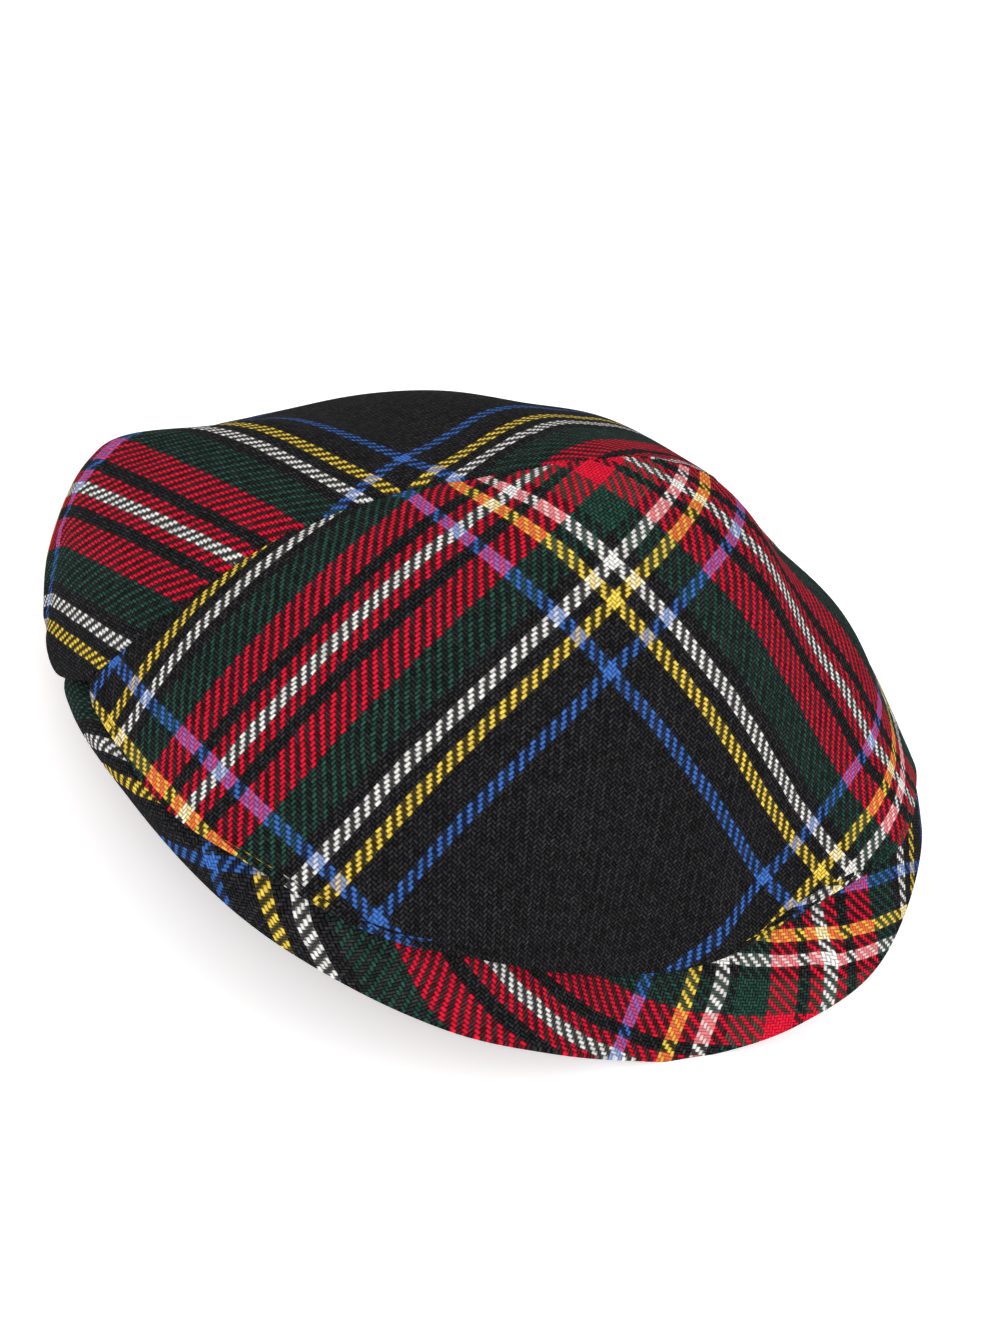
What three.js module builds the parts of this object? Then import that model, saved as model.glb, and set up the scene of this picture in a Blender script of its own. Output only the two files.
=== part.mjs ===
// A flat cap in tartan wool cloth, lying on its peak and its back rim.
// Three pieces of cloth: a lens-shaped front panel, a back panel that wraps round to the head
// opening, and a peak whose horns run back along the sides under the crown.
//
// Millimetres. +Z is up, +Y points to the back of the cap, +X to the wearer's left.
// The cap stands on z = 0. The head opening faces down and is open.
import * as THREE from 'three';

// ---- driving dimensions -------------------------------------------------------------------
const CLOTH = 2;          // thickness of the crown's walls
const PEAK_THICK = 3;     // thickness of the covered peak
const PEAK_LIP = 1.4;     // thickness of the peak's outer edge
const GAP = 0.5;          // clearance between neighbouring panels
const SEAT_GAP = 1.1;     // clearance between the crown and the peak under it
const FULLNESS = 0.85;    // how far the front panel's sections reach into their corners
const LENGTH_SHIFT = 70.3; // moves the tables' own zero to the middle of the cap's length

// Grid of each piece: faces across the cap and faces along a section
const FRONT_GRID = { across: 56, along: 13 };
const BACK_GRID = { across: 60, along: 17 };
const PEAK_GRID = { across: 64, along: 5 };

// ---- tables: one row for each section, from the wearer's right (-) to the left (+) ---------
// "across" counts threads of the front panel from its middle. Points are [x, y, z].

// Front panel: the seam on the peak, the corner that the section bulges towards, the back seam
const FRONT = [
  { across: -174, front: [-108.5, 45, 31.5], corner: [-109, 48.5, 32.5], back: [-109.3, 51.5, 33.5] },
  { across: -150, front: [-101.5, 13, 36.5], corner: [-98, 42.5, 49.5], back: [-97.5, 49.5, 51.5] },
  { across: -120, front: [-87, -12, 42], corner: [-83.5, 33, 65.5], back: [-75.5, 53.5, 71] },
  { across: -90, front: [-66, -27, 38], corner: [-67, 26, 83.5], back: [-51.5, 53.5, 85.5] },
  { across: -60, front: [-43, -29.5, 30.5], corner: [-47.5, 17, 95], back: [-34, 47, 96] },
  { across: -30, front: [-21, -29.5, 22.5], corner: [-24.5, 10.5, 104.5], back: [-17, 42.5, 104.5] },
  { across: 0, front: [0, -29.5, 18], corner: [0, 9, 108.5], back: [0, 42, 107] },
  { across: 30, front: [21, -30, 21], corner: [24, 10.5, 104.5], back: [18, 41.5, 104] },
  { across: 60, front: [42.5, -27, 33.5], corner: [44.5, 16, 91.5], back: [31.5, 46.5, 93.5] },
  { across: 90, front: [66.5, -20.5, 44], corner: [66.5, 26.5, 81.5], back: [48, 53.5, 81] },
  { across: 120, front: [82.5, -4.5, 47], corner: [82.5, 33.5, 64], back: [71.5, 55, 68.5] },
  { across: 150, front: [99.5, 17, 40], corner: [98.5, 42, 49], back: [95.5, 49.5, 50] },
  { across: 174, front: [108.5, 45, 31.5], corner: [109, 48.5, 32.5], back: [109.3, 51.5, 33.5] },
];

// Back panel: each section starts at the back seam and passes the crown, the shoulder and the
// side on its way to the rim. The first and the last one run along the peak's horns.
const BACK = [
  { across: -174, crown: [-113, 66, 22.5], shoulder: [-113, 84, 19.5],
    side: [-107.5, 99.5, 16], rim: [-86, 107, 7] },
  { across: -150, crown: [-105, 78, 47.5], shoulder: [-109.5, 97, 35],
    side: [-106.5, 112.5, 19], rim: [-85, 113, 6] },
  { across: -120, crown: [-91, 93, 65], shoulder: [-101, 116.5, 51.5],
    side: [-99.5, 129.5, 22], rim: [-81.5, 126.5, 2] },
  { across: -90, crown: [-68.5, 99, 73], shoulder: [-80.5, 127.5, 49],
    side: [-90.5, 149.5, 20], rim: [-72, 142, 0] },
  { across: -60, crown: [-46, 95, 79], shoulder: [-57, 135.5, 54.5],
    side: [-66, 165.5, 20.5], rim: [-55, 160, 0] },
  { across: -30, crown: [-23.5, 96, 88], shoulder: [-29.5, 138.5, 60],
    side: [-35, 176, 21], rim: [-31, 173, 0] },
  { across: 0, crown: [0, 94.5, 88.5], shoulder: [0, 140.5, 60.5],
    side: [0, 181, 22], rim: [0, 179, 0] },
  { across: 30, crown: [23, 95.5, 85.5], shoulder: [30.5, 139, 58.5],
    side: [35, 176, 21], rim: [31, 173, 0] },
  { across: 60, crown: [45.5, 92.5, 75.5], shoulder: [57, 134, 53],
    side: [66, 165, 20], rim: [55, 160, 0] },
  { across: 90, crown: [66, 90, 69], shoulder: [80, 125, 46],
    side: [90, 149, 20], rim: [72, 142, 0] },
  { across: 120, crown: [84, 84, 58.5], shoulder: [95, 108, 43],
    side: [99, 130, 20], rim: [81, 126, 2] },
  { across: 150, crown: [102, 75, 44.5], shoulder: [108, 95, 33.5],
    side: [105, 111, 19], rim: [85, 113, 6] },
  { across: 174, crown: [113, 66, 22.5], shoulder: [113, 84, 19.5],
    side: [107.5, 99.5, 16], rim: [86, 107, 7] },
];
// Where those five points lie along a back section, from 0 at the seam to 1 at the rim
const BACK_KNOTS = { back: 0, crown: 0.3, shoulder: 0.6, side: 0.85, rim: 1 };

// Peak: its outer edge, the seat where the crown is sewn to it, and its inner edge at the head
const PEAK = [
  { across: -204, edge: [-105, 95, 19], seat: [-103, 95, 20], inner: [-97, 95, 18] },
  { across: -190, edge: [-107.5, 78, 20], seat: [-105.5, 78, 23.8], inner: [-88, 82, 21] },
  { across: -180, edge: [-111.3, 63.5, 20.2], seat: [-107.5, 62, 26.8], inner: [-86, 69, 25] },
  { across: -174, edge: [-111, 55, 21.3], seat: [-108, 49, 29.5], inner: [-84, 58, 28] },
  { across: -150, edge: [-102.5, 22.5, 24.5], seat: [-100.5, 15, 34], inner: [-81, 34, 36] },
  { across: -120, edge: [-89, -9, 27.5], seat: [-86.5, -9.5, 39.5], inner: [-70, 10, 41] },
  { across: -90, edge: [-70, -26, 23.5], seat: [-66, -24, 36], inner: [-53, -2, 42] },
  { across: -60, edge: [-46, -36, 16], seat: [-43, -27.5, 28.5], inner: [-35, -7, 41] },
  { across: -30, edge: [-22.5, -40.5, 10.5], seat: [-21, -28, 20], inner: [-17.5, -9, 39.5] },
  { across: 0, edge: [0, -41, 3.5], seat: [0, -28.5, 15.5], inner: [0, -9.5, 38.5] },
  { across: 30, edge: [18.5, -41, 0], seat: [21, -28.5, 18], inner: [17.5, -9, 39.5] },
  { across: 60, edge: [44, -41, 7.5], seat: [42, -25.5, 31.5], inner: [35, -7, 41] },
  { across: 90, edge: [66, -35, 22], seat: [65.5, -17.5, 41], inner: [53, -2, 42] },
  { across: 120, edge: [89, -9, 35], seat: [83, -2.5, 44.5], inner: [70, 10, 41] },
  { across: 150, edge: [104, 23, 28.5], seat: [99.5, 18.5, 37.5], inner: [81, 34, 36] },
  { across: 174, edge: [111, 55, 21.3], seat: [108, 49, 29.5], inner: [84, 58, 28] },
  { across: 180, edge: [111.3, 63.5, 20.2], seat: [107.5, 62, 26.8], inner: [86, 69, 25] },
  { across: 190, edge: [107.5, 78, 20], seat: [105.5, 78, 23.8], inner: [88, 82, 21] },
  { across: 204, edge: [105, 95, 19], seat: [103, 95, 20], inner: [97, 95, 18] },
];
// Where the crown's seat lies between the peak's outer edge (0) and its inner edge (1)
const SEAT_AT = 0.4;

// ---- curves -------------------------------------------------------------------------------

/** A smooth curve through points at rising knots: cubic pieces with matched slopes. */
function curveThrough(knots, points, at) {
  const last = knots.length - 1;
  const slope = (i) => points[i + 1].clone().sub(points[i]).divideScalar(knots[i + 1] - knots[i]);
  const inner = (i) => {
    const before = knots[i] - knots[i - 1];
    const after = knots[i + 1] - knots[i];
    return slope(i - 1).multiplyScalar(after).addScaledVector(slope(i), before).divideScalar(before + after);
  };
  const tangent = (i) => {
    if (i === 0) return slope(0).multiplyScalar(1.5).addScaledVector(inner(1), -0.5);
    if (i === last) return slope(last - 1).multiplyScalar(1.5).addScaledVector(inner(last - 1), -0.5);
    return inner(i);
  };
  let i = 0;
  while (i < last - 1 && at > knots[i + 1]) i += 1;
  const span = knots[i + 1] - knots[i];
  const w = (at - knots[i]) / span;
  return new THREE.Vector3()
    .addScaledVector(points[i], 2 * w ** 3 - 3 * w ** 2 + 1)
    .addScaledVector(tangent(i), (w ** 3 - 2 * w ** 2 + w) * span)
    .addScaledVector(points[i + 1], 3 * w ** 2 - 2 * w ** 3)
    .addScaledVector(tangent(i + 1), (w ** 3 - w ** 2) * span);
}

/** One column of a table as a smooth curve across the cap. */
function column(table, name) {
  const knots = table.map((row) => row.across);
  const points = table.map((row) => new THREE.Vector3(...row[name]));
  return (across) => curveThrough(knots, points, across);
}

const frontSeam = column(FRONT, 'front');
const corner = column(FRONT, 'corner');
const backSeam = column(FRONT, 'back');
const backStations = ['crown', 'shoulder', 'side', 'rim'].map((name) => column(BACK, name));
const peakEdge = column(PEAK, 'edge');
const peakSeat = column(PEAK, 'seat');
const peakInner = column(PEAK, 'inner');

/** The peak's upper face: from its outer edge (0), over the seat, to its inner edge (1). */
function peakFace(across, along) {
  const points = [peakEdge(across), peakSeat(across), peakInner(across)];
  return curveThrough([0, SEAT_AT, 1], points, along);
}

/** Unit normal of a surface, from its two directions; it points away from the cap's inside. */
function normalOf(surface, across, along, acrossStep = 0.5, alongStep = 0.004) {
  const dAcross = surface(across + acrossStep, along).sub(surface(across - acrossStep, along));
  const dAlong = surface(across, along + alongStep).sub(surface(across, along - alongStep));
  return dAcross.cross(dAlong).normalize();
}

/** Where the crown's edge sits: just above the peak. */
function seatAbovePeak(across) {
  return peakSeat(across).addScaledVector(normalOf(peakFace, across, SEAT_AT), SEAT_GAP);
}

/** Front panel's section: a full curve from the front seam (0) to the back seam (1). */
function frontFace(across, along) {
  const start = frontSeam(across);
  const end = backSeam(across);
  const bulge = corner(across);
  const section = new THREE.CubicBezierCurve3(
    start, start.clone().lerp(bulge, FULLNESS), end.clone().lerp(bulge, FULLNESS), end);
  return section.getPoint(along);
}

/** Back panel's section, from the back seam (0) to the rim (1). */
function backFace(across, along) {
  const points = [backSeam(across), ...backStations.map((station) => station(across))];
  return curveThrough(Object.values(BACK_KNOTS), points, along);
}

// ---- closed shells ------------------------------------------------------------------------

/** A closed wall between two grids of points of the same size, each grid[row][place]. */
function wall(outer, inner) {
  const rows = outer.length;
  const places = outer[0].length;
  const position = [];
  for (const grid of [outer, inner]) {
    for (const row of grid) {
      for (const point of row) position.push(point.x, point.y - LENGTH_SHIFT, Math.max(point.z, 0));
    }
  }
  const at = (side, row, place) => side * rows * places + row * places + place;
  const index = [];
  const quad = (a, b, c, d) => index.push(a, b, c, a, c, d);
  for (let r = 0; r < rows - 1; r += 1) {
    for (let p = 0; p < places - 1; p += 1) {
      quad(at(0, r, p), at(0, r + 1, p), at(0, r + 1, p + 1), at(0, r, p + 1));
      quad(at(1, r, p), at(1, r, p + 1), at(1, r + 1, p + 1), at(1, r + 1, p));
    }
    quad(at(0, r, 0), at(1, r, 0), at(1, r + 1, 0), at(0, r + 1, 0));
    quad(at(0, r, places - 1), at(0, r + 1, places - 1), at(1, r + 1, places - 1), at(1, r, places - 1));
  }
  for (let p = 0; p < places - 1; p += 1) {
    quad(at(0, 0, p), at(0, 0, p + 1), at(1, 0, p + 1), at(1, 0, p));
    quad(at(0, rows - 1, p), at(1, rows - 1, p), at(1, rows - 1, p + 1), at(0, rows - 1, p + 1));
  }
  const geometry = new THREE.BufferGeometry();
  geometry.setAttribute('position', new THREE.Float32BufferAttribute(position, 3));
  geometry.setIndex(index);
  geometry.computeVertexNormals();
  return geometry;
}

/** Evenly spaced values from low to high, both included. */
function steps(low, high, faces) {
  return Array.from({ length: faces + 1 }, (_, i) => low + ((high - low) * i) / faces);
}

/** The inward direction that both crown panels share along the back seam. */
function seamInward(across) {
  const front = normalOf(frontFace, across, 0.996);
  const back = normalOf(backFace, across, 0.004);
  return front.add(back).normalize().negate();
}

/** A point moved along a surface by a short distance towards another point. */
function nudged(point, target, distance) {
  return point.clone().addScaledVector(target.clone().sub(point).normalize(), distance);
}

// ---- the three pieces ---------------------------------------------------------------------

/** Front panel: from its seat on the peak, over its front fold, up and back to the back seam. */
function crownFront() {
  const outer = [];
  const inner = [];
  for (const across of steps(-174, 174, FRONT_GRID.across)) {
    const seat = seatAbovePeak(across);
    const fold = frontFace(across, 0);
    const alongPeak = peakInner(across).sub(peakSeat(across)).normalize();
    const outerRow = [seat, seat.clone().lerp(fold, 0.5)];
    const innerRow = [seat.clone().addScaledVector(alongPeak, CLOTH)];
    innerRow.push(outerRow[1].clone().addScaledVector(alongPeak, CLOTH));
    for (const along of steps(0, 1, FRONT_GRID.along)) {
      const point = frontFace(across, along);
      const inward = normalOf(frontFace, across, Math.min(Math.max(along, 0.004), 0.996)).negate();
      if (along === 0) inward.add(alongPeak).normalize();
      if (along === 1) {
        point.copy(nudged(point, frontFace(across, 0.95), GAP / 2));
        inward.copy(seamInward(across));
      }
      outerRow.push(point);
      innerRow.push(point.clone().addScaledVector(inward, CLOTH));
    }
    outer.push(outerRow);
    inner.push(innerRow);
  }
  return wall(outer, inner);
}

/** Back panel: from the back seam over the crown and the side down to the flat rim. */
function crownBack() {
  const outer = [];
  const inner = [];
  const middle = new THREE.Vector3(0, 85, 0);
  for (const across of steps(-174, 174, BACK_GRID.across)) {
    const outerRow = [];
    const innerRow = [];
    for (const along of steps(0, 1, BACK_GRID.along)) {
      const point = backFace(across, along);
      const inward = normalOf(backFace, across, Math.min(Math.max(along, 0.004), 0.996)).negate();
      if (along === 0) {
        point.copy(nudged(point, backFace(across, 0.05), GAP / 2));
        inward.copy(seamInward(across));
      }
      if (along === 1) inward.copy(middle).sub(point).setZ(0).normalize();
      outerRow.push(point);
      innerRow.push(point.clone().addScaledVector(inward, CLOTH));
    }
    outer.push(outerRow);
    inner.push(innerRow);
  }
  return wall(outer, inner);
}

/** Peak: a bent crescent with a thin outer lip, under the crown's front and sides. */
function peak() {
  const outer = [];
  const inner = [];
  for (const across of steps(-204, 204, PEAK_GRID.across)) {
    const outerRow = [];
    const innerRow = [];
    for (const along of steps(0, 1, PEAK_GRID.along)) {
      const point = peakFace(across, along);
      const inward = normalOf(peakFace, across, along).negate();
      if (along === 0) {
        inward.setZ(0).normalize().multiplyScalar(PEAK_LIP);
      } else {
        inward.multiplyScalar(PEAK_THICK);
      }
      outerRow.push(point);
      innerRow.push(point.clone().add(inward));
    }
    outer.push(outerRow);
    inner.push(innerRow);
  }
  return wall(outer, inner);
}

// ---- materials and the assembly -----------------------------------------------------------
const frontCloth = new THREE.MeshStandardMaterial({ color: 0x5a1620, roughness: 0.9, metalness: 0 });
const backCloth = new THREE.MeshStandardMaterial({ color: 0x1f3a2c, roughness: 0.9, metalness: 0 });
const peakCloth = new THREE.MeshStandardMaterial({ color: 0x6e1a24, roughness: 0.9, metalness: 0 });

const cap = new THREE.Group();
const PIECES = [
  ['crown_front', crownFront(), frontCloth],
  ['crown_back', crownBack(), backCloth],
  ['peak', peak(), peakCloth],
];
for (const [name, geometry, material] of PIECES) {
  const piece = new THREE.Mesh(geometry, material);
  piece.name = name;
  cap.add(piece);
}

export default cap;
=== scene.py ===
import math

import bpy
import numpy as np
from mathutils import Matrix


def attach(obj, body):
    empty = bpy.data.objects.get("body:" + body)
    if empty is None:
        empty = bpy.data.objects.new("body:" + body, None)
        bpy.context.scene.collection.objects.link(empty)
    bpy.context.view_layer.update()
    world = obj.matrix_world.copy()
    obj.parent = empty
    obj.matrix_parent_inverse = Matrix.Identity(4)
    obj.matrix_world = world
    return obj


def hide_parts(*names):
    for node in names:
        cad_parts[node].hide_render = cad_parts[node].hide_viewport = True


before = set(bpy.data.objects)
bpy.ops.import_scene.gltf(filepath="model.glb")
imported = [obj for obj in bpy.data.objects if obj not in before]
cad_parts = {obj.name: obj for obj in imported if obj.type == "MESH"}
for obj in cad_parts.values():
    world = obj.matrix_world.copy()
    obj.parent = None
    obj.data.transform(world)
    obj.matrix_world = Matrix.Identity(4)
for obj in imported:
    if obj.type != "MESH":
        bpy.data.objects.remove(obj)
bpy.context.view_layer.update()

MM = 0.001

# ---- the cap's sections -------------------------------------------------------------------
LENGTH_SHIFT = 70.3   # moves the tables' own zero to the middle of the cap's length
FULLNESS = 0.85       # how far the front panel's sections reach into their corners
SEAT_AT = 0.4         # where the crown sits between the peak's outer edge and its inner edge

# Front panel: the seam on the peak, the corner that the section bulges towards, the back seam
FRONT_COLUMNS = ("front", "corner", "back")
FRONT = {
    -174: ((-108.5, 45, 31.5), (-109, 48.5, 32.5), (-109.3, 51.5, 33.5)),
    -150: ((-101.5, 13, 36.5), (-98, 42.5, 49.5), (-97.5, 49.5, 51.5)),
    -120: ((-87, -12, 42), (-83.5, 33, 65.5), (-75.5, 53.5, 71)),
    -90: ((-66, -27, 38), (-67, 26, 83.5), (-51.5, 53.5, 85.5)),
    -60: ((-43, -29.5, 30.5), (-47.5, 17, 95), (-34, 47, 96)),
    -30: ((-21, -29.5, 22.5), (-24.5, 10.5, 104.5), (-17, 42.5, 104.5)),
    0: ((0, -29.5, 18), (0, 9, 108.5), (0, 42, 107)),
    30: ((21, -30, 21), (24, 10.5, 104.5), (18, 41.5, 104)),
    60: ((42.5, -27, 33.5), (44.5, 16, 91.5), (31.5, 46.5, 93.5)),
    90: ((66.5, -20.5, 44), (66.5, 26.5, 81.5), (48, 53.5, 81)),
    120: ((82.5, -4.5, 47), (82.5, 33.5, 64), (71.5, 55, 68.5)),
    150: ((99.5, 17, 40), (98.5, 42, 49), (95.5, 49.5, 50)),
    174: ((108.5, 45, 31.5), (109, 48.5, 32.5), (109.3, 51.5, 33.5)),
}

# Back panel: the stations of a section on its way from the back seam to the rim
BACK_COLUMNS = ("crown", "shoulder", "side", "rim")
BACK = {
    -174: ((-113, 66, 22.5), (-113, 84, 19.5), (-107.5, 99.5, 16), (-86, 107, 7)),
    -150: ((-105, 78, 47.5), (-109.5, 97, 35), (-106.5, 112.5, 19), (-85, 113, 6)),
    -120: ((-91, 93, 65), (-101, 116.5, 51.5), (-99.5, 129.5, 22), (-81.5, 126.5, 2)),
    -90: ((-68.5, 99, 73), (-80.5, 127.5, 49), (-90.5, 149.5, 20), (-72, 142, 0)),
    -60: ((-46, 95, 79), (-57, 135.5, 54.5), (-66, 165.5, 20.5), (-55, 160, 0)),
    -30: ((-23.5, 96, 88), (-29.5, 138.5, 60), (-35, 176, 21), (-31, 173, 0)),
    0: ((0, 94.5, 88.5), (0, 140.5, 60.5), (0, 181, 22), (0, 179, 0)),
    30: ((23, 95.5, 85.5), (30.5, 139, 58.5), (35, 176, 21), (31, 173, 0)),
    60: ((45.5, 92.5, 75.5), (57, 134, 53), (66, 165, 20), (55, 160, 0)),
    90: ((66, 90, 69), (80, 125, 46), (90, 149, 20), (72, 142, 0)),
    120: ((84, 84, 58.5), (95, 108, 43), (99, 130, 20), (81, 126, 2)),
    150: ((102, 75, 44.5), (108, 95, 33.5), (105, 111, 19), (85, 113, 6)),
    174: ((113, 66, 22.5), (113, 84, 19.5), (107.5, 99.5, 16), (86, 107, 7)),
}
BACK_KNOTS = (0, 0.3, 0.6, 0.85, 1)   # back seam, crown, shoulder, side, rim
CROWN_REACH = 174     # the crown's tables run from minus this to this

# Peak: its outer edge, the seat where the crown is sewn to it, its inner edge at the head
PEAK_COLUMNS = ("edge", "seat", "inner")
PEAK = {
    -204: ((-105, 95, 19), (-103, 95, 20), (-97, 95, 18)),
    -190: ((-107.5, 78, 20), (-105.5, 78, 23.8), (-88, 82, 21)),
    -180: ((-111.3, 63.5, 20.2), (-107.5, 62, 26.8), (-86, 69, 25)),
    -174: ((-111, 55, 21.3), (-108, 49, 29.5), (-84, 58, 28)),
    -150: ((-102.5, 22.5, 24.5), (-100.5, 15, 34), (-81, 34, 36)),
    -120: ((-89, -9, 27.5), (-86.5, -9.5, 39.5), (-70, 10, 41)),
    -90: ((-70, -26, 23.5), (-66, -24, 36), (-53, -2, 42)),
    -60: ((-46, -36, 16), (-43, -27.5, 28.5), (-35, -7, 41)),
    -30: ((-22.5, -40.5, 10.5), (-21, -28, 20), (-17.5, -9, 39.5)),
    0: ((0, -41, 3.5), (0, -28.5, 15.5), (0, -9.5, 38.5)),
    30: ((18.5, -41, 0), (21, -28.5, 18), (17.5, -9, 39.5)),
    60: ((44, -41, 7.5), (42, -25.5, 31.5), (35, -7, 41)),
    90: ((66, -35, 22), (65.5, -17.5, 41), (53, -2, 42)),
    120: ((89, -9, 35), (83, -2.5, 44.5), (70, 10, 41)),
    150: ((104, 23, 28.5), (99.5, 18.5, 37.5), (81, 34, 36)),
    174: ((111, 55, 21.3), (108, 49, 29.5), (84, 58, 28)),
    180: ((111.3, 63.5, 20.2), (107.5, 62, 26.8), (86, 69, 25)),
    190: ((107.5, 78, 20), (105.5, 78, 23.8), (88, 82, 21)),
    204: ((105, 95, 19), (103, 95, 20), (97, 95, 18)),
}
PEAK_REACH = 204      # and the peak's table

# ---- the cloth ----------------------------------------------------------------------------
THREAD = 0.73         # millimetres from one thread to the next, warp and weft alike
HALF_SETT = 106       # threads from the middle of the black to the white pivot
# Threads counted from the middle of the black: where each stripe starts, and its colour
SETT = (
    (0, "black"), (44, "blue"), (48, "black"), (58, "yellow"), (62, "black"), (66, "white"),
    (70, "black"), (74, "green"), (86, "red"), (96, "black"), (100, "red"), (104, "white"),
)
YARN = {
    "black": (0.0150, 0.0146, 0.0158),
    "blue": (0.036, 0.106, 0.34),
    "yellow": (0.62, 0.44, 0.058),
    "white": (0.60, 0.585, 0.56),
    "green": (0.0150, 0.044, 0.0330),
    "red": (0.51, 0.0085, 0.028),
}

# Where the stripes lie: a place on the panel, and the warp and weft thread there, counted
# from the middle of the black. Columns: across, along, warp, weft
FRONT_STRIPES = (
    (-25, 0.385, -46, 46), (-25, 0.61, -68, 68), (-66, 0.74, -106, 46), (39, 0.08, 46, 46),
    (72.5, 0.02, 68, 68), (-90, 0.015, -46, -46), (-129, 0.14, -106, -46),
    (-153.5, 0.33, -144, -46), (18, 0.70, -46, 106), (51.5, 0.51, -4, 105), (-89, 0.24, -76, -14),
    (-53, 0.85, -106, 64), (-67, 0.935, -116, 60), (-82.5, 0.98, -127, 46),
    (83, 0.19, 46, 106), (74, 0.34, 26, 104), (39, 0.22, 21, 67), (14, 0.35, -14, 67),
    (29, 0.01, 46, 22), (46.5, 0.01, 59, 38), (88, 0.62, 14, 130), (54, 0.585, -9, 107),
)
BACK_STRIPES = (
    (-116, 0.395, -83, 46), (-129, 0.44, -97, 46), (-134, 0.54, -105, 46), (-134, 0.625, -108, 40),
    (-145, 0.65, -121, 36), (-164, 0.62, -144, 41), (-133.5, 0.15, -106, 0), (-101, 0.47, -68, 46),
    (-97, 0.026, -68, -46), (-92, 0.23, -60, 0), (-75, 0.08, -46, -46), (-161, 0.08, -144, 0),
    (-23, 0.20, 0, -46), (14.5, 0.19, 34, -68), (-30, 0.083, -16, -68),
)
PEAK_STRIPES = (
    (-7, 0.024, 46, 106), (26, 0.44, 60, 144), (35, 0.38, 68, 144), (72, 0.11, 106, 144),
    (97.5, 0.235, 144, 167), (87, 0.30, 133, 166), (84, 0.19, 126, 156), (62.5, 0.365, 108, 158),
    (-128, 0.23, -46, 46), (-119, 0.42, -46, 60), (-103, 0.21, -32, 68), (-37, 0.26, 14, 106),
    (-135, 0.595, -60, 46), (-163.5, 0.30, -67, 2), (-152.5, 0.28, -59, 16),
    (-174, 0.10, -78, -20), (-181, 0.15, -82, -27), (-50.5, 0.38, -1, 105),
    (36.5, 0.22, 68, 131), (31, 0.03, 68, 114),
)


# ---- curves and surfaces ------------------------------------------------------------------
def through(knots, points, at):
    """Smooth curves through points[:, k] at knots[k]; one place on each curve for each at."""
    knots = np.asarray(knots, float)
    step = np.diff(knots)[None, :, None]
    slope = np.diff(points, axis=1) / step
    tangent = np.empty_like(points)
    tangent[:, 1:-1] = slope[:, :-1] * step[:, 1:] + slope[:, 1:] * step[:, :-1]
    tangent[:, 1:-1] /= step[:, 1:] + step[:, :-1]
    tangent[:, 0] = 1.5 * slope[:, 0] - 0.5 * tangent[:, 1]
    tangent[:, -1] = 1.5 * slope[:, -1] - 0.5 * tangent[:, -2]
    i = np.clip(np.searchsorted(knots, at, side="left") - 1, 0, len(knots) - 2)
    rows = np.arange(len(at)) if len(points) > 1 else 0
    span = (knots[i + 1] - knots[i])[:, None]
    w = ((at - knots[i])[:, None]) / span
    return (
        (2 * w**3 - 3 * w**2 + 1) * points[rows, i]
        + (w**3 - 2 * w**2 + w) * span * tangent[rows, i]
        + (3 * w**2 - 2 * w**3) * points[rows, i + 1]
        + (w**3 - w**2) * span * tangent[rows, i + 1]
    )


def column(table, columns, name):
    """One column of a table as a smooth curve across the cap."""
    knots = np.array(sorted(table), float)
    place = columns.index(name)
    points = np.array([[table[k][place] for k in sorted(table)]], float)
    return lambda across: through(knots, points, across)


front_seam, corner, back_seam = (column(FRONT, FRONT_COLUMNS, c) for c in FRONT_COLUMNS)
back_stations = [column(BACK, BACK_COLUMNS, c) for c in BACK_COLUMNS]
peak_stations = [column(PEAK, PEAK_COLUMNS, c) for c in PEAK_COLUMNS]


def front_face(across, along):
    """Front panel, from its fold over the peak (0) to the back seam (1)."""
    start, bulge, end = front_seam(across), corner(across), back_seam(across)
    lower = start + FULLNESS * (bulge - start)
    upper = end + FULLNESS * (bulge - end)
    v = along[:, None]
    w = 1 - v
    return start * w**3 + 3 * lower * v * w**2 + 3 * upper * v**2 * w + end * v**3


def back_face(across, along):
    """Back panel, from the back seam (0) to the rim (1)."""
    stations = [back_seam(across)] + [station(across) for station in back_stations]
    return through(BACK_KNOTS, np.stack(stations, 1), along)


def peak_face(across, along):
    """The peak's upper face, from its outer edge (0) over the seat to its inner edge (1)."""
    stations = [station(across) for station in peak_stations]
    return through((0, SEAT_AT, 1), np.stack(stations, 1), along)


def unit(v):
    """Each vector made one long."""
    return v / np.maximum(np.linalg.norm(v, axis=-1, keepdims=True), 1e-9)


def surface(face, across, along):
    """A face as a grid of points, [across, along]."""
    a, b = np.meshgrid(across, along, indexing="ij")
    return face(a.ravel(), b.ravel()).reshape(len(across), len(along), 3)


def grid_normals(grid):
    """Outward unit normals of a grid of points."""
    return unit(np.cross(np.gradient(grid, axis=0), np.gradient(grid, axis=1)))


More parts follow.
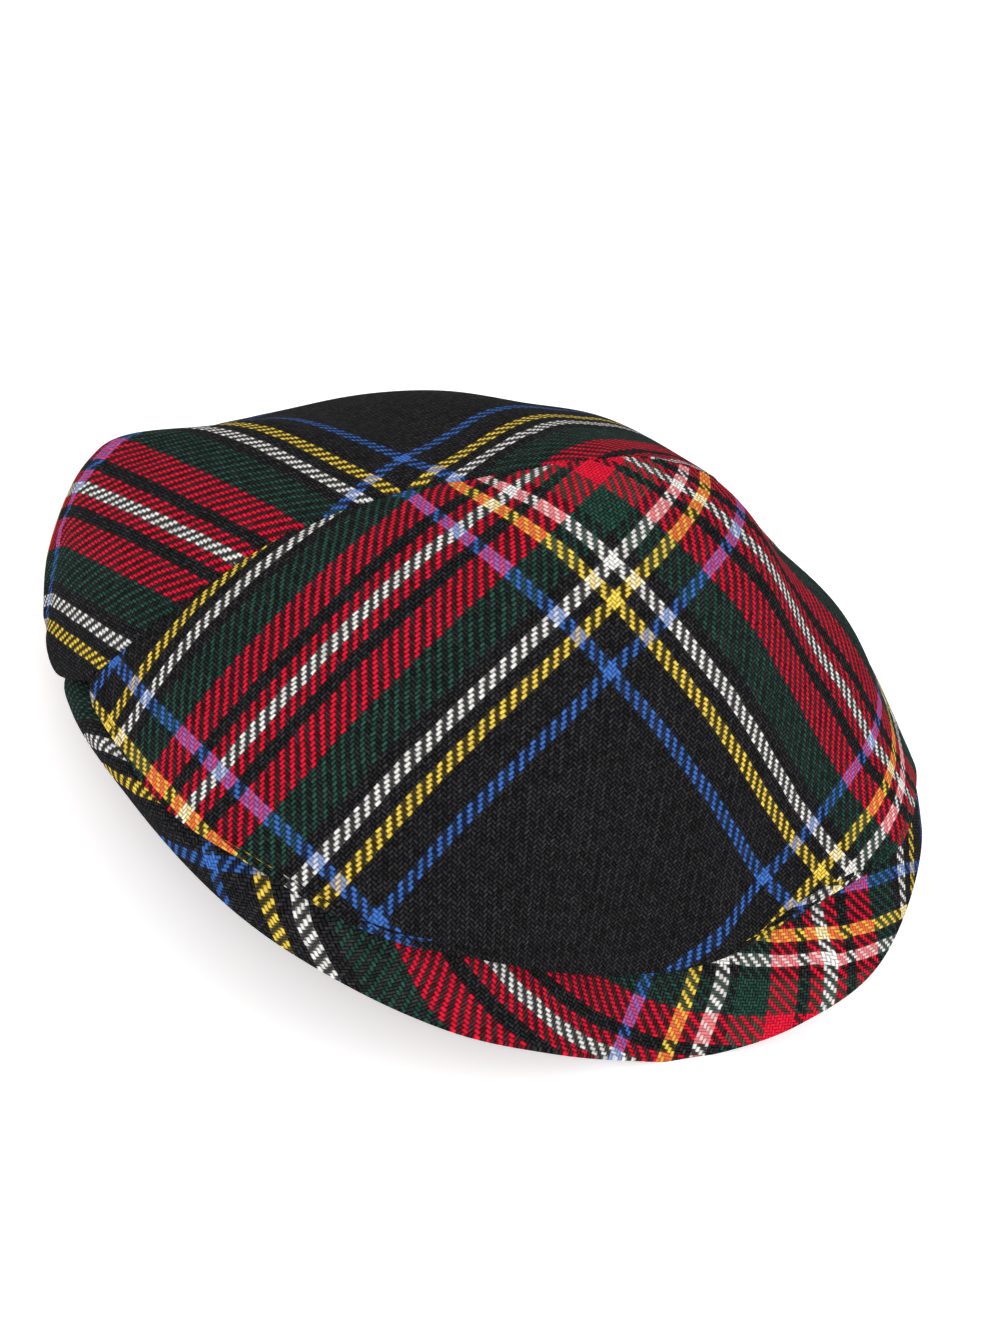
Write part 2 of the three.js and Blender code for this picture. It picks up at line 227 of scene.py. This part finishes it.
# ---- laying the cloth ---------------------------------------------------------------------
def lay_cloth(grid, across, along, stripes, grain, rounds=60, hold=1.2):
    """The warp and weft thread at each point of a grid: the panel is flattened with as little
    stretch as it takes, turned to its grain, with its stripes held at their places."""
    rows, places, _ = grid.shape
    count = rows * places
    number = np.arange(count).reshape(rows, places)
    cells = [number[:-1, :-1], number[1:, :-1], number[1:, 1:], number[:-1, 1:]]
    cells = np.stack(cells, -1).reshape(-1, 4)
    points = grid.reshape(-1, 3)[cells] / THREAD
    side = unit(points[:, 1] - points[:, 0] + points[:, 2] - points[:, 3])
    normal = unit(np.cross(points[:, 2] - points[:, 0], points[:, 3] - points[:, 1]))
    up = np.cross(normal, side)
    flat = np.stack([(points * side[:, None]).sum(-1), (points * up[:, None]).sum(-1)], -1)
    flat -= flat.mean(1, keepdims=True)

    stiffness = np.zeros((count, count))
    for a in range(4):
        for b in range(4):
            np.add.at(stiffness, (cells[:, a], cells[:, b]), float(a == b) - 0.25)
    pull = np.zeros((count, 2))
    for place_across, place_along, warp, weft in stripes:
        i = np.interp(place_across, across, np.arange(rows))
        j = np.interp(place_along, along, np.arange(places))
        i0, j0 = min(int(i), rows - 2), min(int(j), places - 2)
        fi, fj = i - i0, j - j0
        near = [number[i0 + a, j0 + b] for a, b in ((0, 0), (1, 0), (1, 1), (0, 1))]
        share = np.array([(1 - fi) * (1 - fj), fi * (1 - fj), fi * fj, (1 - fi) * fj])
        stiffness[np.ix_(near, near)] += hold * np.outer(share, share)
        pull[near] += hold * np.outer(share, (warp, weft))
    solve = np.linalg.inv(stiffness)

    run = np.zeros((rows, places))
    run[:, 1:] = np.cumsum(np.linalg.norm(np.diff(grid, axis=1), axis=2), axis=1)
    run -= run[:, [places // 2]]
    wide = np.zeros(rows)
    wide[1:] = np.cumsum(np.linalg.norm(np.diff(grid[:, places // 2], axis=0), axis=1))
    wide = (wide - wide[rows // 2])[:, None] + 0 * run
    c, s = math.cos(grain), math.sin(grain)
    thread = np.stack([c * wide - s * run, s * wide + c * run], -1).reshape(-1, 2) / THREAD
    for _ in range(rounds):
        now = thread[cells]
        now = now - now.mean(1, keepdims=True)
        cross = (flat[..., 0] * now[..., 1] - flat[..., 1] * now[..., 0]).sum(1)
        dot = (flat * now).sum((1, 2))
        size = np.hypot(cross, dot)
        cc, ss = (dot / size)[:, None], (cross / size)[:, None]
        turned = [cc * flat[..., 0] - ss * flat[..., 1], ss * flat[..., 0] + cc * flat[..., 1]]
        total = pull.copy()
        np.add.at(total, cells, np.stack(turned, -1))
        thread = solve @ total
    return thread.reshape(rows, places, 2)


def refined(grid, factor_across, factor_along):
    """A coarse grid, curved smoothly through its points, with more rows and places."""
    rows, places, _ = grid.shape
    fine = np.linspace(0, rows - 1, (rows - 1) * factor_across + 1)
    knots = np.arange(rows)
    lines = [through(knots, grid[None, :, k], fine) for k in range(places)]
    grid = np.stack(lines, 1)
    fine = np.linspace(0, places - 1, (places - 1) * factor_along + 1)
    return np.stack([through(np.arange(places), row[None], fine) for row in grid], 0)


MOST_DRAWN = 0.2      # share of a section that drawn_in takes from an end at most


def drawn_in(grid, thread, before, after):
    """The same sheet, its first and last places moved in by these lengths along each section,
    or by a short section's MOST_DRAWN."""
    step = np.linalg.norm(np.diff(grid, axis=1), axis=2)
    run = np.concatenate([np.zeros((len(grid), 1)), np.cumsum(step, axis=1)], 1)
    both = np.concatenate([grid, thread], 2)
    moved = np.empty_like(both)
    for row, (length, values) in enumerate(zip(run, both)):
        low = min(before, MOST_DRAWN * length[-1])
        high = length[-1] - min(after, MOST_DRAWN * length[-1])
        places = low + (high - low) * length / length[-1]
        for k in range(both.shape[2]):
            moved[row, :, k] = np.interp(places, length, values[:, k])
    return moved[..., :3], moved[..., 3:]


WAVE = 0.35           # height of the crown's slow waves
# Each wave is a share of that height times two sines: lengths along x, y and z, and a start
WAVES = (
    (1.0, (19, math.inf, 31, 0.6), (math.inf, 23, -17, 0)),
    (0.6, (8.5, -12, math.inf, 1.9), (29, math.inf, 13, 0)),
)
VALLEY = 0.35         # how deep the cloth is drawn down along the seam
VALLEY_REACH = 3.5    # and how far from the seam
PUCKER = 0.15         # height of the puckers beside the seam
PUCKER_LENGTH = 15.0  # from one pucker to the next
PUCKER_REACH = 9.0    # how far from the seam they fade
PUCKER_UNEVEN = 1.7   # how unevenly they follow each other, in radians
PUCKER_SLOW = 31      # and the length over which that changes


def relaxed(grid, seam_first, seam_last):
    """Cloth that isn't quite smooth: slow waves, and along a seam a valley with small puckers."""
    wave = 0
    for share, first, second in WAVES:
        for length_x, length_y, length_z, start in (first, second):
            turn = grid[..., 0] / length_x + grid[..., 1] / length_y + grid[..., 2] / length_z
            share = share * np.sin(turn + start)
        wave = wave + share
    step = np.linalg.norm(np.diff(grid, axis=1), axis=2)
    run = np.concatenate([np.zeros((len(grid), 1)), np.cumsum(step, axis=1)], 1)
    lift = WAVE * wave
    beside = np.linalg.norm(np.diff(grid, axis=0), axis=2)[:, grid.shape[1] // 2]
    around = np.concatenate([[0], np.cumsum(beside)])[:, None]
    uneven = PUCKER_UNEVEN * np.sin(around / PUCKER_SLOW)
    pucker = np.sin(around / PUCKER_LENGTH * 2 * math.pi + uneven)
    for wanted, far in ((seam_first, run), (seam_last, run[:, -1:] - run)):
        if wanted:
            lift = lift * (1 - np.exp(-far / VALLEY_REACH))
            lift = lift - VALLEY * np.exp(-((far / VALLEY_REACH) ** 2))
            lift = lift + PUCKER * pucker * np.exp(-far / PUCKER_REACH)
    return grid + grid_normals(grid) * lift[..., None]


# ---- meshes -------------------------------------------------------------------------------
def shell(name, outer, normals, thickness, thread, rounding=4, reach=(1.0, 1.0)):
    """A closed sheet of cloth under a grid of points, with rounded edges along its first and
    last places: half-round with reach 1, flatter below it, as one number for each of these two
    edges or one for each row. thickness is a number or one for each place."""
    rows, places, _ = outer.shape
    thick = np.broadcast_to(np.asarray(thickness, float), (rows, places))[..., None]
    inner = outer - normals * thick
    turns = np.linspace(0, math.pi, rounding + 2)[1:-1]

    def edge(place, outward, reach):
        middle = (outer[:, place] + inner[:, place]) / 2
        half = (outer[:, place] - inner[:, place]) / 2
        out = outward * np.linalg.norm(half, axis=1, keepdims=True) * reach
        return [middle + half * math.cos(t) + out * math.sin(t) for t in turns]

    ends = unit(outer[:, -1] - outer[:, -2])
    starts = unit(outer[:, 0] - outer[:, 1])
    loop = [outer[:, k] for k in range(places)] + edge(places - 1, ends, reach[1])
    loop += [inner[:, k] for k in reversed(range(places))] + edge(0, starts, reach[0])[::-1]
    order = list(range(places)) + [places - 1] * rounding
    order += list(reversed(range(places))) + [0] * rounding
    points = np.stack(loop, 1)
    lay = thread[:, order]
    ring = points.shape[1]
    count = rows * ring
    number = np.arange(count).reshape(rows, ring)
    faces = np.stack(
        [number[:-1], number[1:], np.roll(number[1:], -1, 1), np.roll(number[:-1], -1, 1)], -1
    ).reshape(-1, 4)
    caps = []
    for row, flip in ((number[0], False), (number[-1], True)):
        back = [row[ring - rounding - 1 - k] for k in range(places)]
        for k in range(places - 1):
            quad = [row[k], row[k + 1], back[k + 1], back[k]]
            caps.append(quad[::-1] if flip else quad)
        last = [row[places - 1 + k] for k in range(rounding + 2)]
        first = [row[(ring - rounding - 1 + k) % ring] for k in range(rounding + 2)]
        caps.append(last[::-1] if flip else last)
        caps.append(first[::-1] if flip else first)
    points = points.reshape(-1, 3).copy()
    points[:, 1] -= LENGTH_SHIFT
    points[:, 2] = np.maximum(points[:, 2], 0)
    mesh = bpy.data.meshes.new(name)
    faces = faces.tolist() + [[int(point) for point in cap] for cap in caps]
    mesh.from_pydata((points * MM).tolist(), [], faces)
    mesh.polygons.foreach_set("use_smooth", np.ones(len(mesh.polygons), bool))
    woven = mesh.attributes.new("thread", "FLOAT_VECTOR", "POINT")
    values = np.zeros((count, 3), np.float32)
    values[:, :2] = lay.reshape(-1, 2)
    woven.data.foreach_set("vector", values.ravel())
    mesh.update()
    piece = bpy.data.objects.new(name, mesh)
    bpy.context.scene.collection.objects.link(piece)
    return piece


# ---- the three pieces ---------------------------------------------------------------------
CROWN_CLOTH = 1.6     # thickness of the crown's cloth
PEAK_MIDDLE = 3.0     # thickness of the covered peak
PEAK_LIP = 1.4        # thickness of its outer edge
SEAM_HALF = 0.42      # each crown panel stops this far from the middle of the seam
SEAM_SHARE = 0.99     # share of the way to the middle that its rounded edge then goes
SEAM_LIMITS = (0.2, 1.3)   # least and most of that, in halves of the cloth's thickness
EDGE_ROUND = 0.5      # how far the crown panels' free edges are rounded, in the same measure
BIAS = math.pi / 4    # the front panel and the peak are cut on the bias
ROLL_STEPS = 8        # faces in the front panel's roll from its fold down to the peak
ROLL_DOWN = 0.2       # share of the roll's length over which it leaves the fold straight down
ROLL_OUT = 0.3        # and over which it comes in flat to its seat
TUCK_AT = 0.47        # where the roll ends between the peak's outer edge and its inner edge
TUCK_GAP = 0.35       # and how far above the peak
STRAIGHT = 8          # places above the fold over which its threads are carried on straight
BESIDE = 0.01         # a place this near another gives the slope of a face there


def flat_size(thread, grain):
    """Width, length and area in metres of the flat piece, measured across and along the cap."""
    c, s = math.cos(grain), math.sin(grain)
    across = thread[..., 0] * c + thread[..., 1] * s
    along = -thread[..., 0] * s + thread[..., 1] * c
    one, two = thread[1:, 1:] - thread[:-1, :-1], thread[1:, :-1] - thread[:-1, 1:]
    area = np.abs(one[..., 0] * two[..., 1] - one[..., 1] * two[..., 0]).sum() / 2
    unit_length = THREAD * MM
    return (np.ptp(across) * unit_length, np.ptp(along) * unit_length), area * unit_length**2


def seam_reach(grid, across, edge, beside):
    """How far a crown panel's rounded edge goes to meet the other panel's edge half-way, as
    shares of half the cloth's thickness."""
    front = surface(front_face, across, np.array([1 - BESIDE, 1.0]))
    back = surface(back_face, across, np.array([0.0, BESIDE]))
    up = unit(grid_normals(front)[:, 1] + grid_normals(back)[:, 0])
    seam = front[:, 1] - up * (VALLEY + CROWN_CLOTH / 2)
    middle = grid[:, edge] - grid_normals(grid)[:, edge] * CROWN_CLOTH / 2
    outward = unit(grid[:, edge] - grid[:, beside])
    distance = ((seam - middle) * outward).sum(1, keepdims=True)
    return np.clip(SEAM_SHARE * distance / (CROWN_CLOTH / 2), *SEAM_LIMITS)


def laid(face, reach, rows, places, finer, stripes, grain):
    """A fine grid of a face and the thread at each of its points. The cloth is laid on a
    coarser grid of this many rows and places."""
    across, along = np.linspace(-reach, reach, rows), np.linspace(0, 1, places)
    thread = lay_cloth(surface(face, across, along), across, along, stripes, grain)
    thread = refined(thread, *finer)
    across = np.linspace(-reach, reach, thread.shape[0])
    along = np.linspace(0, 1, thread.shape[1])
    return across, along, surface(face, across, along), thread


def front_panel():
    """The front panel, rolled under at its fold, and its flat size."""
    across, _, grid, thread = laid(front_face, CROWN_REACH, 59, 21, (4, 4), FRONT_STRIPES, BIAS)
    grid, thread = drawn_in(grid, thread, 0, SEAM_HALF)
    grid = relaxed(grid, False, True)

    # the roll from the fold down to the seat on the peak
    under = surface(peak_face, across, TUCK_AT + np.array([-BESIDE, 0, BESIDE]))
    seat = under[:, 1] + TUCK_GAP * grid_normals(under)[:, 1]
    fold = grid[:, 0]
    down = unit(grid[:, 0] - grid[:, 1])
    reach = np.linalg.norm(seat - fold, axis=1, keepdims=True)
    inward = unit(peak_stations[2](across) - peak_stations[1](across))
    low, high = seat - inward * ROLL_OUT * reach, fold + down * ROLL_DOWN * reach
    roll = []
    for t in np.linspace(0, 1, ROLL_STEPS, endpoint=False):
        u = 1 - t
        roll.append(seat * u**3 + 3 * low * t * u**2 + 3 * high * t**2 * u + fold * t**3)
    roll = np.stack(roll, 1)
    step = np.linalg.norm(np.diff(np.concatenate([roll, grid[:, :1]], 1), axis=1), axis=2)
    below = np.cumsum(step[:, ::-1], axis=1)[:, ::-1]
    first = np.linalg.norm(grid[:, 0] - grid[:, STRAIGHT], axis=1)
    slope = (thread[:, 0] - thread[:, STRAIGHT]) / first[:, None]
    roll_thread = thread[:, [0]] + slope[:, None] * below[..., None]
    grid = np.concatenate([roll, grid], 1)
    thread = np.concatenate([roll_thread, thread], 1)
    reach = (EDGE_ROUND, seam_reach(grid, across, -1, -2))
    piece = shell("front_panel", grid, grid_normals(grid), CROWN_CLOTH, thread, reach=reach)
    return piece, flat_size(thread, BIAS)


def back_panel():
    """The back panel, from the seam down to the rim, and its flat size."""
    across, _, grid, thread = laid(back_face, CROWN_REACH, 59, 25, (4, 4), BACK_STRIPES, 0.0)
    grid, thread = drawn_in(grid, thread, SEAM_HALF, 0)
    grid = relaxed(grid, True, False)
    reach = (seam_reach(grid, across, 0, 1), EDGE_ROUND)
    piece = shell("back_panel", grid, grid_normals(grid), CROWN_CLOTH, thread, reach=reach)
    return piece, flat_size(thread, 0.0)


def peak_cover():
    """The covered peak, thick from the seat inwards and thin at its edge, and its flat size."""
    _, along, grid, thread = laid(peak_face, PEAK_REACH, 103, 9, (3, 5), PEAK_STRIPES, BIAS)
    thickness = PEAK_LIP + (PEAK_MIDDLE - PEAK_LIP) * np.clip(along / SEAT_AT, 0, 1) ** 0.5
    piece = shell("peak_cover", grid, grid_normals(grid), thickness[None], thread, rounding=6)
    return piece, flat_size(thread, BIAS)


# ---- material -----------------------------------------------------------------------------
# A range (low, high, first, last) maps low..high to first..last and holds both ends. A pair
# (gain, base) is base, plus gain times how bright or how dark the upper thread is.
WANDERS = ((0.12, 1.1), (1.7, 0.34))   # how finely the threads wander, and how many threads far
TWILL = 4.0                            # threads in one repeat: two over, two under
BRIGHT = (0.02, 0.3, 0.0, 1.0)         # both threads that cross, from black to bright
DARK = (0.02, 0.07, 1.0, 0.0)          # the upper thread, from black to coloured
SHOWING = (-0.3, 0.3, 0.10, 0.40)      # lower thread in the upper, by how much brighter that is
PEEPING = (0.15, 0.6, 0.8, 0.0)        # lower thread past the ends of the upper one's floats
PEEPING_BRIGHT = (-0.6, 1.0)           # less of it where both are bright
PEEPING_PALE = (0.2, 0.5, 1.0, 0.45)   # and where the lower thread is a pale one
HAZE = (0.12, 0.035)                   # fibres of the lower thread over the whole float
FLOAT_SPREAD = (0.5, 0.3)              # how much one float differs from the next
END_PAINTED_SHADE, END_SHADE_REACH = (0.5, 0.12), (0.04, 0.50)     # painted shade at a float's ends, and their length
SIDE_PAINTED_SHADE, SIDE_SHADE_REACH = (-0.28, 0.5), (0.1, 0.85)   # painted shade at its sides, and their width
ALONG_MIDDLE, ACROSS_MIDDLE = (0.3, 1.0), (0.3, 1.12)  # painted light at its middle, both ways
WEFT_PAINTED_SHADE, FLOAT_PAINTED_LIGHT = 0.25, 1.08    # painted shade on the dark weft's floats, painted light on the others
FIBRES = (1.5, 3.0)                    # scale and detail of the fibres
FIBRE_CONTRAST, FIBRE_LEAST = (2.4, 1.0), 0.2
PATCHES = (0.05, 2.0)                  # scale and detail of slow changes in the cloth's shade
PATCH_LIGHT = (0.3, 0.7, 0.93, 1.05)
BUMP_STRENGTH, BUMP_HEIGHT, FIBRE_HEIGHT = 0.9, 0.3 * MM, 0.4
ROUGHNESS, SPECULAR, SHEEN, SHEEN_ROUGHNESS = 0.95, 0.015, 0.004, 0.5


class Nodes:
    """Short calls for the shader nodes of one material."""

    def __init__(self, name):
        self.material = bpy.data.materials.new(name)
        self.material.use_nodes = True
        self.tree = self.material.node_tree
        self.tree.nodes.clear()

    def new(self, kind, **settings):
        """A node of this kind with these settings."""
        node = self.tree.nodes.new(kind)
        for key, value in settings.items():
            setattr(node, key, value)
        return node

    def put(self, socket, value):
        """Links a socket to this input, or sets the input to a value."""
        if isinstance(value, bpy.types.NodeSocket):
            self.tree.links.new(value, socket)
        else:
            socket.default_value = value

    def math(self, operation, *values):
        """One operation on numbers or sockets."""
        node = self.new("ShaderNodeMath", operation=operation)
        for socket, value in zip(node.inputs, values):
            self.put(socket, value)
        return node.outputs[0]

    def mix(self, share, first, second, blend="MIX"):
        """Two colours mixed: none of the second at share 0."""
        node = self.new("ShaderNodeMix", data_type="RGBA", blend_type=blend)
        self.put(node.inputs["Factor"], share)
        self.put(node.inputs[6], first)
        self.put(node.inputs[7], second)
        return node.outputs[2]


def stripes(n, thread):
    """Colour of the thread with this number."""
    middle = n.math("ADD", n.math("FLOOR", thread), 0.5)
    share = n.math("DIVIDE", n.math("PINGPONG", middle, float(HALF_SETT)), float(HALF_SETT))
    ramp = n.new("ShaderNodeValToRGB")
    ramp.color_ramp.interpolation = "CONSTANT"
    while len(ramp.color_ramp.elements) < len(SETT):
        ramp.color_ramp.elements.new(1.0)
    for element, (start, colour) in zip(ramp.color_ramp.elements, SETT):
        element.position = start / HALF_SETT
        element.color = (*YARN[colour], 1)
    n.put(ramp.inputs[0], share)
    return ramp.outputs[0]


def value_of(n, colour):
    """The largest of a colour's red, green and blue."""
    split = n.new("ShaderNodeSeparateColor", mode="HSV")
    n.put(split.inputs[0], colour)
    return split.outputs[2]


def value_gap(n, one, two):
    """How much brighter the first colour is than the second."""
    grey = []
    for colour in (one, two):
        node = n.new("ShaderNodeRGBToBW")
        n.put(node.inputs[0], colour)
        grey.append(node.outputs[0])
    return n.math("SUBTRACT", *grey)


def from_to(n, value, low, high, first, last):
    """A value mapped from low..high to first..last, held at both ends."""
    node = n.new("ShaderNodeMapRange", clamp=True)
    for name, number in (("Value", value), ("From Min", low), ("From Max", high),
                         ("To Min", first), ("To Max", last)):
        n.put(node.inputs[name], number)
    return node.outputs[0]


def noise(n, vector, scale, detail):
    """Smooth noise over a vector."""
    node = n.new("ShaderNodeTexNoise", noise_dimensions="3D")
    n.put(node.inputs["Vector"], vector)
    n.put(node.inputs["Scale"], scale)
    n.put(node.inputs["Detail"], detail)
    return node


def tartan():
    """2/2 twill: one family of threads floats over two of the other, then dives under two."""
    n = Nodes("tartan_cloth")
    attribute = n.new("ShaderNodeAttribute", attribute_name="thread").outputs["Vector"]

    # the threads wander slowly, and a little more finely from float to float
    def wander(scale, amount):
        offset = n.new("ShaderNodeVectorMath", operation="SUBTRACT")
        n.put(offset.inputs[0], noise(n, attribute, scale, 1.0).outputs["Color"])
        offset.inputs[1].default_value = (0.5, 0.5, 0.5)
        scaled = n.new("ShaderNodeVectorMath", operation="SCALE")
        n.put(scaled.inputs[0], offset.outputs[0])
        scaled.inputs["Scale"].default_value = amount
        return scaled.outputs[0]

    place = attribute
    for scale, amount in WANDERS:
        total = n.new("ShaderNodeVectorMath", operation="ADD")
        n.put(total.inputs[0], place)
        n.put(total.inputs[1], wander(scale, amount))
        place = total.outputs[0]
    split = n.new("ShaderNodeSeparateXYZ")
    n.put(split.inputs[0], place)
    warp, weft = split.outputs[0], split.outputs[1]
    warp_cell, weft_cell = n.math("FLOOR", warp), n.math("FLOOR", weft)
    warp_part, weft_part = n.math("FRACT", warp), n.math("FRACT", weft)
    turn = n.math("FLOORED_MODULO", n.math("ADD", warp_cell, weft_cell), TWILL)
    weft_up = n.math("GREATER_THAN", turn, 1.5)

    def choose(when_warp, when_weft):
        difference = n.math("SUBTRACT", when_weft, when_warp)
        return n.math("MULTIPLY_ADD", weft_up, difference, when_warp)

    half = n.math("FLOORED_MODULO", turn, TWILL / 2)
    along = n.math("DIVIDE", n.math("ADD", choose(weft_part, warp_part), half), TWILL / 2)
    beside = n.math("SINE", n.math("MULTIPLY", choose(warp_part, weft_part), math.pi))
    end = n.math("SINE", n.math("MULTIPLY", along, math.pi))
    height = n.math("SQRT", n.math("MULTIPLY", beside, end))

    # the thread on top, with some of the one under it showing through and at its edges
    warp_colour, weft_colour = stripes(n, warp), stripes(n, weft)
    top = n.mix(weft_up, warp_colour, weft_colour)
    under = n.mix(weft_up, weft_colour, warp_colour)
    top_value, under_value = value_of(n, top), value_of(n, under)
    bright = from_to(n, n.math("MINIMUM", top_value, under_value), *BRIGHT)
    shown = from_to(n, value_gap(n, top, under), *SHOWING)
    colour = n.mix(n.math("MULTIPLY", bright, shown), top, under)
    peeping = n.math("MULTIPLY_ADD", bright, *PEEPING_BRIGHT)
    peeping = n.math("MULTIPLY", from_to(n, end, *PEEPING), peeping)
    peeping = n.math("MULTIPLY", peeping, from_to(n, under_value, *PEEPING_PALE))
    colour = n.mix(1.0, colour, n.mix(peeping, (0, 0, 0, 1), under), blend="LIGHTEN")

    # each float a little lighter or darker at random, painted shade in the grooves between the
    # floats and painted light on their middles, and fine fibres
    which = n.new("ShaderNodeCombineXYZ")
    n.put(which.inputs[0], choose(warp_cell, weft_cell))
    start = n.math("SUBTRACT", choose(weft_cell, warp_cell), turn)
    n.put(which.inputs[1], n.math("FLOOR", n.math("DIVIDE", start, 2.0)))
    n.put(which.inputs[2], weft_up)
    chance = n.new("ShaderNodeTexWhiteNoise", noise_dimensions="3D")
    n.put(chance.inputs["Vector"], which.outputs[0])
    dark = from_to(n, top_value, *DARK)
    spread = n.math("MULTIPLY_ADD", dark, *FLOAT_SPREAD)
    vary = n.math("MULTIPLY_ADD", n.math("SUBTRACT", chance.outputs["Value"], 0.5), spread, 1.0)
    # painted shade: how much light is left at each float's ends and at its sides
    ends = n.math("MULTIPLY_ADD", bright, *END_PAINTED_SHADE)
    sides = n.math("MULTIPLY_ADD", dark, *SIDE_PAINTED_SHADE)
    groove_painted_shade = n.math(
        "MULTIPLY",
        from_to(n, end, *END_SHADE_REACH, ends, n.math("MULTIPLY_ADD", bright, *ALONG_MIDDLE)),
        from_to(n, beside, *SIDE_SHADE_REACH, sides, n.math("MULTIPLY_ADD", dark, *ACROSS_MIDDLE)),
    )
    # painted shade: the weft's floats lie a little lower than the warp's, and in the dark colours
    # they are painted darker for it
    # lower is the painted shade taken off the dark weft's floats
    lower = n.math("MULTIPLY", weft_up, n.math("MULTIPLY", dark, WEFT_PAINTED_SHADE))
    groove_painted_shade = n.math("MULTIPLY", groove_painted_shade, n.math("SUBTRACT", FLOAT_PAINTED_LIGHT, lower))
    fibre = noise(n, attribute, *FIBRES).outputs["Fac"]
    contrast = n.math("MULTIPLY_ADD", dark, *FIBRE_CONTRAST)
    fuzz = n.math("MULTIPLY_ADD", n.math("SUBTRACT", fibre, 0.5), contrast, 1.0)
    fuzz = n.math("MAXIMUM", fuzz, FIBRE_LEAST)
    slow = from_to(n, noise(n, attribute, *PATCHES).outputs["Fac"], *PATCH_LIGHT)
    # the floats' random tone, fibres and patches, times the painted shade of the grooves
    light = n.math("MULTIPLY", n.math("MULTIPLY", vary, groove_painted_shade), n.math("MULTIPLY", fuzz, slow))
    lit = n.new("ShaderNodeVectorMath", operation="SCALE")
    n.put(lit.inputs[0], colour)
    n.put(lit.inputs["Scale"], light)
    hazy = n.mix(n.math("MULTIPLY_ADD", bright, *HAZE), lit.outputs[0], under)

    bump = n.new("ShaderNodeBump")
    bump.inputs["Strength"].default_value = BUMP_STRENGTH
    bump.inputs["Distance"].default_value = BUMP_HEIGHT
    n.put(bump.inputs["Height"], n.math("MULTIPLY_ADD", fibre, FIBRE_HEIGHT, height))
    shader = n.new("ShaderNodeBsdfPrincipled")
    n.put(shader.inputs["Base Color"], hazy)
    n.put(shader.inputs["Normal"], bump.outputs[0])
    shader.inputs["Roughness"].default_value = ROUGHNESS
    shader.inputs["Specular IOR Level"].default_value = SPECULAR
    shader.inputs["Sheen Weight"].default_value = SHEEN
    shader.inputs["Sheen Roughness"].default_value = SHEEN_ROUGHNESS
    output = n.new("ShaderNodeOutputMaterial")
    n.put(output.inputs["Surface"], shader.outputs[0])
    return n.material


# ---- stage, light and camera --------------------------------------------------------------
FLOOR = 3.0              # half the side of the floor, in metres
FLOOR_COLOUR = (0.94, 0.94, 0.94, 1)
FLOOR_ROUGHNESS = 0.9
FLOOR_GLOW = 0.3         # the floor's own light, which keeps it pale
WHITE = (1, 1, 1, 1)
SKY_STRENGTH = 1.0
KEY_PLACE = (-0.45, -0.95, 0.8)
KEY_SIZE = 0.8           # metres across
KEY_POWER = 5.5          # watts
LIT_POINT = (0, 0, 0.04) # the middle of the cap, where the key light points


def plain_floor():
    """A plain pale floor under the cap."""
    mesh = bpy.data.meshes.new("floor")
    corners = [(-FLOOR, -FLOOR, 0), (FLOOR, -FLOOR, 0), (FLOOR, FLOOR, 0), (-FLOOR, FLOOR, 0)]
    mesh.from_pydata(corners, [], [(0, 1, 2, 3)])
    floor = bpy.data.objects.new("floor", mesh)
    bpy.context.scene.collection.objects.link(floor)
    material = bpy.data.materials.new("pale_floor")
    material.use_nodes = True
    shader = material.node_tree.nodes["Principled BSDF"]
    shader.inputs["Base Color"].default_value = FLOOR_COLOUR
    shader.inputs["Roughness"].default_value = FLOOR_ROUGHNESS
    shader.inputs["Emission Color"].default_value = WHITE
    shader.inputs["Emission Strength"].default_value = FLOOR_GLOW
    mesh.materials.append(material)


def soft_light(name, place, size, power):
    """A round soft light at a place, pointing at the cap."""
    light = bpy.data.lights.new(name, "AREA")
    light.shape = "DISK"
    light.size = size
    light.energy = power
    lamp = bpy.data.objects.new(name, light)
    bpy.context.scene.collection.objects.link(lamp)
    away = np.array(place, float) - np.array(LIT_POINT, float)
    z = away / np.linalg.norm(away)
    x = np.cross((0, 0, 1), z)
    x /= np.linalg.norm(x)
    y = np.cross(z, x)
    turn = np.stack([x, y, z], 1)
    lamp.matrix_world = Matrix([(*r, p) for r, p in zip(turn, place)] + [(0, 0, 0, 1)])


def studio():
    """Even white light from all round, with one soft light from the front."""
    world = bpy.data.worlds.new("studio")
    world.use_nodes = True
    background = world.node_tree.nodes["Background"]
    background.inputs["Color"].default_value = WHITE
    background.inputs["Strength"].default_value = SKY_STRENGTH
    bpy.context.scene.world = world
    soft_light("key", KEY_PLACE, KEY_SIZE, KEY_POWER)
    bpy.context.scene.view_settings.view_transform = "Standard"


def camera():
    """Above the front of the cap, on the wearer's right, and rolled a little."""
    right = (0.8914, -0.3381, 0.3018)
    up = (-0.0073, 0.6552, 0.7554)
    back = (-0.4531, -0.6756, 0.5816)
    place = (-0.1573, -0.2388, 0.2273)
    data = bpy.data.cameras.new("camera")
    data.lens = 35.1
    data.sensor_width = 36
    data.clip_start = 0.01
    eye = bpy.data.objects.new("camera", data)
    turn = zip(right, up, back)
    eye.matrix_world = Matrix([(*r, p) for r, p in zip(turn, place)] + [(0, 0, 0, 1)])
    bpy.context.scene.collection.objects.link(eye)
    bpy.context.scene.camera = eye


# ---- assembly -----------------------------------------------------------------------------
cloth = tartan()
PIECES = (
    (front_panel(), "crown_front", "front_cloth", ["peak_cover", "back_panel"]),
    (back_panel(), "crown_back", "back_cloth", ["front_panel", "peak_cover"]),
    (peak_cover(), "peak", "peak_cloth", []),
)
for (piece, (flat, area)), node, slot, rests_on in PIECES:
    piece.data.materials.append(cloth)
    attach(piece, "root")
    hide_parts(node)

plain_floor()
studio()
camera()
